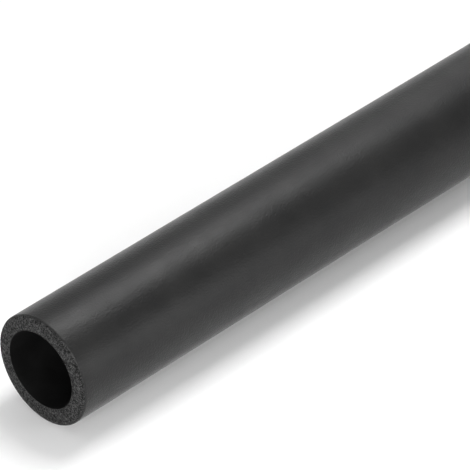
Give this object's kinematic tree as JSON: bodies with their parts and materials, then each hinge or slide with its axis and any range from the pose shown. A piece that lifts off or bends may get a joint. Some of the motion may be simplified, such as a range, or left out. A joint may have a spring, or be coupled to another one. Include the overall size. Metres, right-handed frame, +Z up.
{
  "type": "pipe insulation lagging",
  "caption": "Straight tube of black closed-cell rubber foam that slides over a heating or cooling pipe to insulate it, cut square at both ends.",
  "frame": {"origin": "under the middle of the tube, on the surface that it lies on", "axes": "+X along the tube, +Z up; the bore sits a little above the tube's centre"},
  "size_m": [1, 0.061, 0.061],
  "materials": {
    "rubber_foam": "matt black foam with a smooth skin outside and in the bore, and open cut cells on the ends"
  },
  "bodies": {
    "root": {"foam_tube": "rubber_foam"}
  },
  "joints": []
}
